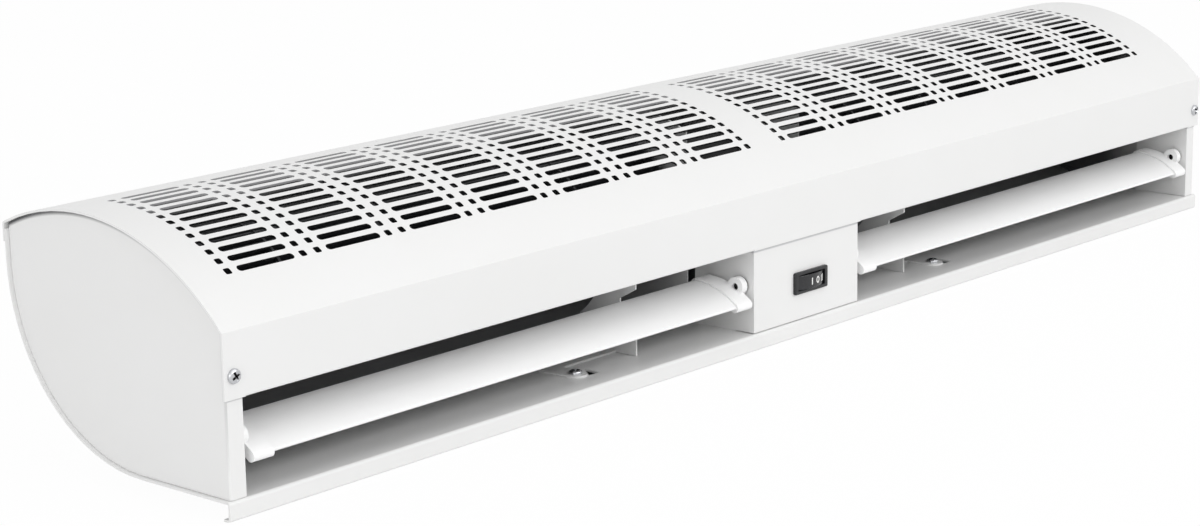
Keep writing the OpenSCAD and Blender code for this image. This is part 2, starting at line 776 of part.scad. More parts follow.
// The cable's rubber grommet, square to the rolled back
grommet_r = 5.5;
grommet_flange_r = 7.7;
grommet_bore_r = 3.5;
grommet_t = 2;
grommet_x = -30;
grommet_a = 12;
grommet_sag = 0.4;
module grommet_place() translate([grommet_x, back_cy, back_cz]) rotate([-90 - grommet_a, 0, 0])
    translate([0, 0, back_r]) children();
module cable_grommet() color(black) grommet_place() difference() {
    union() {
        cylinder(grommet_t, r = grommet_flange_r);
        translate([0, 0, -sheet_t - grommet_sag - grommet_t]) {
            cylinder(grommet_t, r = grommet_flange_r);
            cylinder(sheet_t + grommet_sag + 2 * grommet_t, r = grommet_r - running_gap);
        }
    }
    cylinder(body_d / 4, r = grommet_bore_r, center = true);
}

// Screws
module cover_screws() color(zinc) {
    front_screw_places() screw(2 * screw_grip);
    rear_screw_places() screw(2 * screw_grip);
}
module divider_screws() color(zinc) divider_screw_places() screw(sheet_t + screw_grip);
module box_screws() color(zinc) box_screw_places() screw(sheet_t + screw_grip);
module motor_screws() color(zinc) motor_screw_places() screw(bracket_t + sheet_t);
module plate_screws() color(zinc) plate_screw_places() screw(wall_plate_t + screw_grip);

placed() rear_casing();
placed() front_cover();
placed() left_end_plate();
placed() right_end_plate();
placed() wall_plate();
placed() control_box();
placed() switch_body();
placed() switch_rocker();
placed() left_vane();
placed() left_vane_caps();
placed() right_vane();
placed() right_vane_caps();
placed() vane_pivots();
placed() left_divider();
placed() right_divider();
placed() left_tongue();
placed() right_tongue();
placed() left_impeller();
placed() right_impeller();
placed() motor_shaft();
placed() motor_housing();
placed() motor_rings();
placed() motor_bracket();
placed() motor_straps();
placed() left_partition();
placed() right_partition();
placed() bearing_carriers();
placed() bearing_rubbers();
placed() bearing_bushes();
placed() capacitor();
placed() capacitor_clip();
placed() terminal_block();
placed() cable_grommet();
placed() cover_screws();
placed() divider_screws();
placed() box_screws();
placed() motor_screws();
placed() plate_screws();
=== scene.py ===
"""An air curtain: rolled sheet-metal housing, slotted intake cover, two outlets with tilting vanes."""
import json
import math

import bmesh
import bpy
from mathutils import Matrix, Quaternion, Vector


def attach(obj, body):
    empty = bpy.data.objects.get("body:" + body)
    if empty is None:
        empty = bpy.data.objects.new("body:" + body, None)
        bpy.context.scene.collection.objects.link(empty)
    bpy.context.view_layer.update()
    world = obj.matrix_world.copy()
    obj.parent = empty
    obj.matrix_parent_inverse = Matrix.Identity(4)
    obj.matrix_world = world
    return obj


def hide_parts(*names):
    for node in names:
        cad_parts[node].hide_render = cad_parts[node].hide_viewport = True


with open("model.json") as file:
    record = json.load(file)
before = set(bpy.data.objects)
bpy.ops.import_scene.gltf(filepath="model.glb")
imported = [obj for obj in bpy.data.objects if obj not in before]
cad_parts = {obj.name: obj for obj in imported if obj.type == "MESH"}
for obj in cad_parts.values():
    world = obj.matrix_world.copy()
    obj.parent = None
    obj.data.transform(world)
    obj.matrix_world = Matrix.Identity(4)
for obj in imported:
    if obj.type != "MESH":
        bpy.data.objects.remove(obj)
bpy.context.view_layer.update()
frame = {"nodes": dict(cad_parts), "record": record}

record = frame["record"]
body_of_node = {n: body for body, names in record["behaviour"]["bodies"].items() for n in names}

# Sizes in millimetres, from the front face, the top of the casing's floor and the middle
MM = 0.001
WALL_PLATE_Y = 35.8
LIP_H = 10.0
SHEET = 1.2
HALF_L = 450.0
PLATE_X = 448.0
COVER_FRONT_Z = 49.4
CREASE_Z = 82.4
COVER_REAR = (162.9, 114.4)
COVER_R = 141.4
REAR_LIP_H = 10.0
RETURN_D = 8.0
BOX_X = 50.0
WALL_X = 438.0
OUTLET_GAP = 1.0

BACK_R = 96.8
BACK_C = (64.8, 95.6)

# The photograph's width in pixels
PHOTO_W = 1200

# The centre and the two ends of the cover's rolled arc
chord = Vector((COVER_REAR[0], COVER_REAR[1] - CREASE_Z))
lift = math.sqrt(COVER_R ** 2 - chord.length ** 2 / 4) / chord.length
COVER_C = (chord.x / 2 + lift * chord.y, CREASE_Z + chord.y / 2 - lift * chord.x)
START_A = math.atan2(CREASE_Z - COVER_C[1], COVER_C[0])
END_A = math.pi - math.atan2(COVER_REAR[1] - COVER_C[1], COVER_REAR[0] - COVER_C[0])

# The slotted grille
ROWS = 13
ROW_PITCH = 7.4
FIRST_ROW = 33.0
COLUMNS = 7
COLUMN_PITCH = 58.1
DOT_PITCH = 9.6
SLOT_W = 4.0
SLOT_LAND = 4.0
DOT_CORNER_R = 0.9
GROUP_STARTS = (-423.0, 6.6)

# The screws: pan heads with a cross recess
SCREW_R = 2.0
HEAD_R = 3.7
HEAD_H = 2.2
RECESS_R = 2.8

# The fan
FAN_AXIS = (96.0111, 62.0129)
FAN_R = 45.0
FAN_X = (59.7, 430.8)
FAN_CELLS = 5
RING_T = 1.6
RING_W = 11.0
HUB_R = 9.0
HUB_L = 10.0
SHAFT_R = 4.0
STUB_END = 445.6
BLADES = 30
BLADE_R = 8.1
BLADE_T = 1.0
BLADE_C = (40.5, -4.86)

# The switch
SWITCH_X = 2.4
SWITCH_Z = 22.5
BEZEL = (31.0, 13.0)
BARREL = (28.0, 11.4)
OPENING_H = 9.1
ROCKER_H = 8.4
ROCKER_Y = 4.0
ROCKER_R = 13.2
CROWN_Y = -2.4
CROWN_HALF = 12.45
CROWN_RISE = 3.0
TAB_PITCH = 9.0
MARK_H = 4.2
MARK_W = 0.8


def at(x, y, z):
    """A place in the housing's own millimetres, as a place in the frame in metres."""
    return Vector((x, y - WALL_PLATE_Y, z + LIP_H)) * MM


def tint(hex_colour):
    """An sRGB hex colour as the linear colour that a socket takes."""
    parts = [int(hex_colour[i:i + 2], 16) / 255 for i in (1, 3, 5)]
    return [c / 12.92 if c <= 0.04045 else ((c + 0.055) / 1.055) ** 2.4 for c in parts] + [1.0]


def add(tree, kind, inputs=None, **settings):
    """A new node with its settings; an input is given a value, or the output that feeds it."""
    made = tree.nodes.new(kind)
    for name, value in settings.items():
        setattr(made, name, value)
    for key, value in (inputs or {}).items():
        if isinstance(value, bpy.types.NodeSocket):
            tree.links.new(value, made.inputs[key])
        else:
            made.inputs[key].default_value = value
    return made


def finish(name, low, high, patch_mm, rough, rough_spread=0.04, grain_mm=None, grain_depth_mm=0.0, **sockets):
    """A surface whose colour drifts between two tones in patches, over a fine raised grain."""
    made = bpy.data.materials.new(name)
    made.use_nodes = True
    tree = made.node_tree
    shader = tree.nodes["Principled BSDF"]
    place = add(tree, "ShaderNodeTexCoord").outputs["Object"]
    patches = add(tree, "ShaderNodeTexNoise", {"Vector": place, "Scale": 1 / (patch_mm * MM), "Detail": 3.0})
    tones = add(tree, "ShaderNodeMix", {0: patches.outputs["Fac"], 6: tint(low), 7: tint(high)}, data_type="RGBA")
    tree.links.new(tones.outputs[2], shader.inputs["Base Color"])
    sheen = add(tree, "ShaderNodeMapRange", {"Value": patches.outputs["Fac"], "To Min": rough - rough_spread,
                                             "To Max": rough + rough_spread})
    tree.links.new(sheen.outputs["Result"], shader.inputs["Roughness"])
    if grain_mm:
        grain = add(tree, "ShaderNodeTexNoise", {"Vector": place, "Scale": 1 / (grain_mm * MM), "Detail": 2.0})
        bump = add(tree, "ShaderNodeBump", {"Height": grain.outputs["Fac"], "Distance": grain_depth_mm * MM})
        tree.links.new(bump.outputs["Normal"], shader.inputs["Normal"])
    for key, value in sockets.items():
        shader.inputs[key.replace("_", " ").title().replace("Ior", "IOR")].default_value = value
    return made


def blend_in(surface, share, colour):
    """A second colour over a surface's own, by a share that a node gives."""
    tree = surface.node_tree
    shader = tree.nodes["Principled BSDF"]
    own = shader.inputs["Base Color"].links[0].from_socket
    mixed = add(tree, "ShaderNodeMix", {0: share, 6: own, 7: tint(colour)}, data_type="RGBA")
    tree.links.new(mixed.outputs[2], shader.inputs["Base Color"])
    return surface


def deep(y):
    """A depth behind the front face, as the frame has it in millimetres."""
    return y - WALL_PLATE_Y


def shade_with_depth(surface, shade_colour, start, end, radius=1000.0, half_length=PLATE_X - SHEET):
    """A coat that darkens to a colour of painted shade from one depth to the next, within a radius of the casing's
    axis.
    """
    tree = surface.node_tree
    axis = at(0, *BACK_C)
    place = add(tree, "ShaderNodeTexCoord").outputs["Object"]
    part = add(tree, "ShaderNodeSeparateXYZ", {"Vector": place})
    section = add(tree, "ShaderNodeCombineXYZ", {"Y": part.outputs["Y"], "Z": part.outputs["Z"]})
    reach = add(tree, "ShaderNodeVectorMath", {0: section.outputs["Vector"], 1: axis}, operation="DISTANCE")
    within = add(tree, "ShaderNodeMath", {0: reach.outputs["Value"], 1: radius * MM}, operation="LESS_THAN")
    flat = add(tree, "ShaderNodeMath", {0: part.outputs["Y"], 1: axis.y}, operation="LESS_THAN")
    inner = add(tree, "ShaderNodeMath", {0: within.outputs[0], 1: flat.outputs[0]}, operation="MAXIMUM")
    over = add(tree, "ShaderNodeMath", {0: part.outputs["Z"], 1: (LIP_H - SHEET / 2) * MM},
               operation="GREATER_THAN")
    depth = add(tree, "ShaderNodeMapRange", {"Value": part.outputs["Y"], "From Min": deep(start) * MM,
                                             "From Max": deep(end) * MM}, interpolation_type="SMOOTHSTEP")
    off_middle = add(tree, "ShaderNodeMath", {0: part.outputs["X"]}, operation="ABSOLUTE")
    between = add(tree, "ShaderNodeMath", {0: off_middle.outputs[0], 1: half_length * MM}, operation="LESS_THAN")
    share = depth.outputs["Result"]
    for limit in (inner, over, between):
        share = add(tree, "ShaderNodeMath", {0: share, 1: limit.outputs[0]}, operation="MULTIPLY").outputs[0]
    return blend_in(surface, share, shade_colour)


def share_where(surface, *ramps):
    """A share that is the product of ramps: (axis, zero at, one at); R is the distance from the cover's axis."""
    tree = surface.node_tree
    place = add(tree, "ShaderNodeTexCoord").outputs["Object"]
    part = add(tree, "ShaderNodeSeparateXYZ", {"Vector": place})
    section = add(tree, "ShaderNodeCombineXYZ", {"Y": part.outputs["Y"], "Z": part.outputs["Z"]})
    reach = add(tree, "ShaderNodeVectorMath", {0: section.outputs["Vector"], 1: at(0, *COVER_C)},
                operation="DISTANCE").outputs["Value"]
    off_middle = add(tree, "ShaderNodeMath", {0: part.outputs["X"]}, operation="ABSOLUTE")
    sources = {"X": off_middle.outputs[0], "Y": part.outputs["Y"], "Z": part.outputs["Z"], "R": reach}
    share = 1.0
    for axis, zero_at, one_at in ramps:
        ramp = add(tree, "ShaderNodeMapRange", {"Value": sources[axis], "From Min": zero_at * MM,
                                                "From Max": one_at * MM})
        share = add(tree, "ShaderNodeMath", {0: share, 1: ramp.outputs["Result"]}, operation="MULTIPLY").outputs[0]
    return share


def coat(name):
    """Baked white polyester powder on steel: satin, with a faint orange peel."""
    return finish(name, "#e5e5e4", "#e8e8e8", 60, 0.36, 0.03, 1.8, 0.012)


def row_depth(row):
    """The depth of a row of holes, counted from 0, behind the front face."""
    return COVER_C[0] - COVER_R * math.cos(START_A + (FIRST_ROW + row * ROW_PITCH) / COVER_R)


# Powder coat on the cover, with painted shade: the walls of the punched holes, and the inside between them, are
# coloured darker than the outside, and those of the front rows nearly black
cover_coat = coat("powder_coated_cover")
rows_from, front_rows_to, rows_to = row_depth(-0.5), row_depth(7.5), row_depth(ROWS - 0.5)
hole_shade_ramps = (("R", COVER_R - 0.06, COVER_R - 0.08), ("Z", LIP_H + 70, LIP_H + 72),
            ("X", PLATE_X - 1.8, PLATE_X - 1.9), ("Y", deep(rows_from), deep(rows_from + 0.1)),
            ("Y", deep(rows_to), deep(rows_to - 0.1)))
front_hole_shade_ramps = (*hole_shade_ramps, ("Y", deep(front_rows_to + 3), deep(front_rows_to - 3)))
blend_in(cover_coat, share_where(cover_coat, *hole_shade_ramps), "#a8a8aa")
blend_in(cover_coat, share_where(cover_coat, *front_hole_shade_ramps), "#0c0c0d")
# The same coat on the casing, coloured darker deep inside as painted shade
casing_coat = shade_with_depth(coat("powder_coated_casing"), "#88888a", 40, 72, BACK_R - SHEET + 0.1)
# The same coat on the plates inside the casing, darkened with depth as painted shade
inner_coat = shade_with_depth(coat("powder_coated_inner_plate"), "#b4b4b6", 36, 76)
# The same coat on the end plates, their inner faces darkened with depth as painted shade
end_coat = shade_with_depth(coat("powder_coated_end_plate"), "#5c5c5e", 30, 75, half_length=PLATE_X - SHEET + 0.1)
# Painted shadow lines in its seams: under the cover's edge, darkest towards the back, behind the strip, and below
# it
blend_in(end_coat, share_where(end_coat, ("R", COVER_R - SHEET - 2.6, COVER_R - SHEET - 1.0),
                               ("X", PLATE_X - 1.0, PLATE_X - 0.6), ("Y", deep(-60), deep(150))), "#4a4a4c")
blend_in(end_coat, share_where(end_coat, ("X", PLATE_X - 0.8, PLATE_X - 0.4), ("Y", deep(3.4), deep(1.6)),
                               ("Z", LIP_H + 10, LIP_H + 90)), "#77777a")
blend_in(end_coat, share_where(end_coat, ("Z", LIP_H + COVER_FRONT_Z - 1.3, LIP_H + COVER_FRONT_Z - 0.5),
                               ("Y", deep(4), deep(3))), "#b8b8ba")
# The same coat on the control box, with the same painted shadow line under the strip
box_coat = coat("powder_coated_box")
blend_in(box_coat, share_where(box_coat, ("Z", LIP_H + COVER_FRONT_Z - 1.9, LIP_H + COVER_FRONT_Z - 1.2),
                               ("Y", deep(4), deep(3))), "#c0c0c2")
# Injection-moulded white ABS: a little smoother and brighter than the coat
white_abs = finish("moulded_abs", "#f4f4f4", "#f7f7f7", 40, 0.30, 0.03, 0.9, 0.006)
# Zinc-plated steel: bright, slightly blue, with soft patches from the plating bath
zinc = finish("zinc_plated_steel", "#b4b6ba", "#d0d1d3", 6, 0.28, 0.08, 0.5, 0.004, metallic=1.0)
# Painted shade: faces marked as the cross recess are coloured near black
recess_shade = add(zinc.node_tree, "ShaderNodeAttribute", attribute_name="recess")
blend_in(zinc, recess_shade.outputs["Fac"], "#26272a")
# Steel pins coloured nearly black as painted shade, so the hole that each sits in reads as a dark spot
browned_steel = finish("browned_steel", "#1c1b1b", "#29282a", 3, 0.45, 0.06, 0.4, 0.004, metallic=1.0)
# Hot-dip galvanised steel: dull grey with broad patches
galvanised = finish("galvanised_steel", "#9a9ea3", "#b4b7ba", 9, 0.42, 0.08, 0.8, 0.006, metallic=1.0)
# Black coated aluminium blades: matt, with a little dust-grey drift
fan_black = finish("black_coated_aluminium", "#2c2d30", "#3a3c40", 12, 0.5, 0.08, 0.6, 0.01)
# Moulded black nylon: fine spark-eroded texture
nylon_black = finish("moulded_black_nylon", "#17171a", "#1f2023", 8, 0.42, 0.05, 0.35, 0.012)
# Rocker key: the same nylon, polished
rocker_black = finish("polished_black_nylon", "#1c1c1f", "#242528", 8, 0.22, 0.03, 0.5, 0.002)
# Pad-printed white ink: an even thin film
white_ink = finish("white_pad_ink", "#e9e9e6", "#f4f4f2", 2, 0.45, 0.03)
# Nitrile rubber: dull black
rubber = finish("nitrile_rubber", "#161616", "#202020", 6, 0.7, 0.05, 0.6, 0.01)
# Sintered bronze: warm and fine-grained
bronze = finish("sintered_bronze", "#9a7a3c", "#b8924b", 3, 0.38, 0.06, 0.4, 0.006, metallic=1.0)
# Black baked enamel on the motor's barrel, over a cast skin
motor_enamel = finish("black_motor_enamel", "#0c0c0e", "#151618", 7, 0.5, 0.06, 0.7, 0.015)
# Natural polyamide: the terminal block and capacitor case
natural_nylon = finish("natural_polyamide", "#dedacb", "#ebe7d9", 10, 0.4, 0.05, 0.6, 0.006)
# Bright turned steel: shaft
bright_steel = finish("turned_steel", "#8d9095", "#a2a5a9", 4, 0.2, 0.05, 0.3, 0.002, metallic=1.0)


def link(name, mesh):
    made = bpy.data.objects.new(name, mesh)
    bpy.context.scene.collection.objects.link(made)
    return made


def bake(piece):
    """The piece with its modifiers applied, as a plain mesh under the same name."""
    shape = bpy.context.evaluated_depsgraph_get()
    made = bpy.data.meshes.new_from_object(piece.evaluated_get(shape))
    piece.modifiers.clear()
    piece.data = made
    return piece


def soften(piece, width_mm, segments=2, angle=35):
    """Small rounds on sharp edges, and normals that follow the large faces."""
    bevel = piece.modifiers.new("edge", "BEVEL")
    bevel.width = width_mm * MM
    bevel.segments = segments
    bevel.limit_method = "ANGLE"
    bevel.angle_limit = math.radians(angle)
    bevel.miter_outer = "MITER_ARC"
    bevel.use_clamp_overlap = True
    smooth(piece)
    weight = piece.modifiers.new("flat", "WEIGHTED_NORMAL")
    weight.keep_sharp = True
    return bake(piece)


def smooth(piece, angle=35):
    piece.data.shade_smooth()
    piece.data.set_sharp_from_angle(angle=math.radians(angle))


def settle(piece, body, material, *nodes):
    piece.data.materials.clear()
    piece.data.materials.append(material)
    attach(piece, body)
    if nodes:
        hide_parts(*nodes)
    return piece


def dress(node, material, edge_mm=0.25, segments=2):
    """A CAD node as a merged copy with softened edges, in its finish."""
    mesh = frame["nodes"][node].data.copy()
    shape = bmesh.new()
    shape.from_mesh(mesh)
    bmesh.ops.remove_doubles(shape, verts=shape.verts, dist=0.005 * MM)
    bmesh.ops.dissolve_limit(shape, angle_limit=math.radians(0.4), verts=shape.verts, edges=shape.edges)
    shape.to_mesh(mesh)
    shape.free()
    piece = link(node + "_made", mesh)
    soften(piece, edge_mm, segments)
    return settle(piece, body_of_node[node], material, node)


def built(shape, name):
    """An object from this mesh, its doubles merged and its faces turned outwards."""
    bmesh.ops.remove_doubles(shape, verts=shape.verts, dist=0.001 * MM)
    bmesh.ops.recalc_face_normals(shape, faces=shape.faces)
    mesh = bpy.data.meshes.new(name)
    shape.to_mesh(mesh)
    shape.free()
    return link(name, mesh)


def local(x, y, z):
    return Vector((x, y, z)) * MM


def lofted(shape, loops, ring=False, place=local):
    """A closed solid through loops of as many points each, in mm: a ring, or with a flat face at either end."""
    rows = [[shape.verts.new(place(*point)) for point in loop] for loop in loops]
    ends = [] if ring else [rows[0], rows[-1]]
    for low, high in zip(rows, rows[1:] + (rows[:1] if ring else [])):
        for k, corner in enumerate(low):
            n = (k + 1) % len(low)
            shape.faces.new([corner, low[n], high[n], high[k]])
    for end in ends:
        shape.faces.new(end)


def turned(shape, profile, steps=28, along_x=False, ring=False):
    """A solid turned about Z or X, from (radius, height) points in mm."""
    loops = []
    for r, h in profile:
        circle = [(r * math.cos(a), r * math.sin(a)) for a in (2 * math.pi * k / steps for k in range(steps))]
        loops.append([(h, a, b) if along_x else (a, b, h) for a, b in circle])
    lofted(shape, loops, ring)


def round_rect(w, h, r, steps=4):
    """The corners of a rectangle with round corners, about its middle."""
    return [(sx * (w / 2 - r) + r * math.cos(a), sy * (h / 2 - r) + r * math.sin(a))
            for sx, sy, first in ((1, 1, 0), (-1, 1, 90), (-1, -1, 180), (1, -1, 270))
            for a in (math.radians(first + 90 * k / steps) for k in range(steps + 1))]


# The camera stands to the left, a little above, at the photograph's viewing angle
FOCAL_PX = 2800.0
CAMERA_AT = (-1275.9, -966.7, 405.5)
AZIMUTH, ELEVATION, ROLL = -0.846, 0.228, -0.016
camera_data = bpy.data.cameras.new("camera")
camera_data.sensor_fit = "HORIZONTAL"
camera_data.sensor_width = 36.0
camera_data.lens = FOCAL_PX / PHOTO_W * camera_data.sensor_width
camera_data.clip_start = 0.05
camera_data.clip_end = 50.0
camera = link("camera", camera_data)
back = Vector((math.sin(AZIMUTH) * math.cos(ELEVATION), -math.cos(AZIMUTH) * math.cos(ELEVATION),
               math.sin(ELEVATION)))
across = (-back).cross(Vector((0, 0, 1))).normalized()
above = across.cross(-back)
rolled_across = math.cos(ROLL) * across + math.sin(ROLL) * above
rolled_above = math.cos(ROLL) * above - math.sin(ROLL) * across
turn = Matrix((rolled_across, rolled_above, back)).transposed().to_4x4()
camera.matrix_world = Matrix.Translation(at(*CAMERA_AT)) @ turn
bpy.context.scene.camera = camera

# Cover: its outer surface is a sheet of quads whose lines meet the punched cells


def rolled(along):
    """A point of the rolled sheet, this far along it from the crease."""
    a = START_A + along / COVER_R
    return COVER_C[0] - COVER_R * math.cos(a), COVER_C[1] + COVER_R * math.sin(a)


def column_cell():
    """One column of one row, flat: a slot between two square holes, ringed by faces out to the cell's edge."""
    half_h = ROW_PITCH / 2
    half_w = SLOT_W / 2
    column_l = COLUMN_PITCH - DOT_PITCH
    edge = half_w + SLOT_LAND / 2
    straight = column_l / 2 - half_w - SLOT_LAND - half_w
    shape = bmesh.new()

    def point(x, s):
        return shape.verts.new((x * MM, s * MM, 0))

    def ring(outer, inner, spans):
        outer = [point(*p) for p in outer]
        inner = [point(*p) for p in inner]
        for (o0, o1), (i0, i1) in spans:
            hole = [inner[i % len(inner)] for i in range(i1, i0 - 1, -1)]
            shape.faces.new([outer[o0], outer[o1 % len(outer)]] + hole)

    for centre, low, high in ((0, -DOT_PITCH / 2, edge), (column_l, -edge, DOT_PITCH / 2)):
        corners = [(centre + x, s) for x, s in ((low, -half_h), (high, -half_h), (high, half_h), (low, half_h))]
        flat = half_w - DOT_CORNER_R
        hole = []
        for cx, cs, first in ((-flat, -flat, 180), (flat, -flat, 270), (flat, flat, 0), (-flat, flat, 90)):
            for step in range(3):
                a = math.radians(first + 45 * step)
                hole.append((centre + cx + DOT_CORNER_R * math.cos(a), cs + DOT_CORNER_R * math.sin(a)))
        ring(corners, hole, [((k, k + 1), (3 * k + 1, 3 * k + 4)) for k in range(4)])
    middle = column_l / 2
    low, high = middle - (column_l / 2 - edge), middle + (column_l / 2 - edge)
    left, right = middle - straight, middle + straight
    outer = [(low, -half_h), (left, -half_h), (right, -half_h), (high, -half_h),
             (high, half_h), (right, half_h), (left, half_h), (low, half_h)]
    hole = [(left + half_w * math.cos(math.radians(a)), half_w * math.sin(math.radians(a)))
            for a in range(90, 271, 30)]
    hole += [(right + half_w * math.cos(math.radians(a)), half_w * math.sin(math.radians(a)))
             for a in range(270, 451, 30)]
    ring(outer, hole, [((7, 8), (2, 4)), ((0, 1), (4, 6)), ((1, 2), (6, 7)), ((2, 3), (7, 9)),
                       ((3, 4), (9, 11)), ((4, 5), (11, 13)), ((5, 6), (13, 14)), ((6, 7), (14, 16))])
    bmesh.ops.remove_doubles(shape, verts=shape.verts, dist=0.001 * MM)
    bmesh.ops.recalc_face_normals(shape, faces=shape.faces)
    for face in shape.faces:
        if face.normal.z < 0:
            face.normal_flip()
    mesh = bpy.data.meshes.new("punched_cell")
    shape.to_mesh(mesh)
    shape.free()
    return link("punched_cell", mesh)


def cover_lines():
    """Places along the length where the cover's quads meet the cells, with the columns between them."""
    column_l = COLUMN_PITCH - DOT_PITCH
    edge = SLOT_W / 2 + SLOT_LAND / 2
    bend = SLOT_W + SLOT_LAND
    lines, punched = {-HALF_L, HALF_L}, []
    for start in GROUP_STARTS:
        for c in range(COLUMNS):
            x = start + c * COLUMN_PITCH
            for offset in (-DOT_PITCH / 2, edge, bend, column_l - bend, column_l - edge, column_l + DOT_PITCH / 2):
                lines.add(round(x + offset, 4))
        punched.append((start - DOT_PITCH / 2, start + (COLUMNS - 1) * COLUMN_PITCH + column_l + DOT_PITCH / 2))
    for side in (-1, 1):
        lines |= {side * (BOX_X + OUTLET_GAP), side * (WALL_X - OUTLET_GAP)}
    return sorted(lines), punched


def arc_points(cy, cz, r, a0, a1, steps):
    """Points of an arc, with the angle counted from the back, upwards."""
    angles = [math.radians(a0 + (a1 - a0) * k / steps) for k in range(steps + 1)]
    return [(cy + r * math.cos(a), cz + r * math.sin(a)) for a in angles]


def blank_sheet():
    """The cover's outer surface, open where the punched cells go."""
    xs, punched = cover_lines()
    first = FIRST_ROW - ROW_PITCH / 2
    last = first + ROWS * ROW_PITCH
    whole = (END_A - START_A) * COVER_R
    crease, corner, bend_r = 1.4, 2.0, 1.2
    strip = [(0, COVER_FRONT_Z), (0, (COVER_FRONT_Z + CREASE_Z) / 2), (0, CREASE_Z - crease)]
    along = [crease + (first - crease) * k / 5 for k in range(6)]
    along += [first + ROW_PITCH * k for k in range(1, ROWS + 1)]
    along += [last + (whole - corner - last) * k / 5 for k in range(1, 6)]
    lip = [(COVER_REAR[0] - 0.35, rolled(whole - corner)[1] - 0.9), (COVER_REAR[0], COVER_REAR[1] - corner),
           (COVER_REAR[0], COVER_REAR[1] - REAR_LIP_H)]
    half_crease = rolled(crease * 0.25)
    profile = strip + [(half_crease[0] * 0.4, half_crease[1] - 0.25)] + [rolled(s) for s in along] + lip
    punch_from = len(strip) + 1 + 5
    shape = bmesh.new()
    grid = {}

    def point(i, y, z):
        key = (i, round(y, 4), round(z, 4))
        if key not in grid:
            grid[key] = shape.verts.new(at(xs[i], y, z))
        return grid[key]

    def strip_of(i, points):
        for (y0, z0), (y1, z1) in zip(points, points[1:]):
            shape.faces.new([point(i, y0, z0), point(i + 1, y0, z0), point(i + 1, y1, z1), point(i, y1, z1)])

    bend = arc_points(bend_r, COVER_FRONT_Z + bend_r, bend_r, 180, 270, 4)
    for i in range(len(xs) - 1):
        middle = (xs[i] + xs[i + 1]) / 2
        inside = any(lo < middle < hi for lo, hi in punched)
        over_outlet = BOX_X + OUTLET_GAP < abs(middle) < WALL_X - OUTLET_GAP
        low = profile[1:punch_from + 1]
        front = ([(RETURN_D, COVER_FRONT_Z)] + bend[::-1] if over_outlet else [profile[0]]) + low
        strip_of(i, front)
        if not inside:
            strip_of(i, profile[punch_from:punch_from + ROWS + 1])
        strip_of(i, profile[punch_from + ROWS:])
    bmesh.ops.recalc_face_normals(shape, faces=shape.faces)
    mesh = bpy.data.meshes.new("cover_sheet")
    shape.to_mesh(mesh)
    shape.free()
    return link("front_cover_made", mesh)


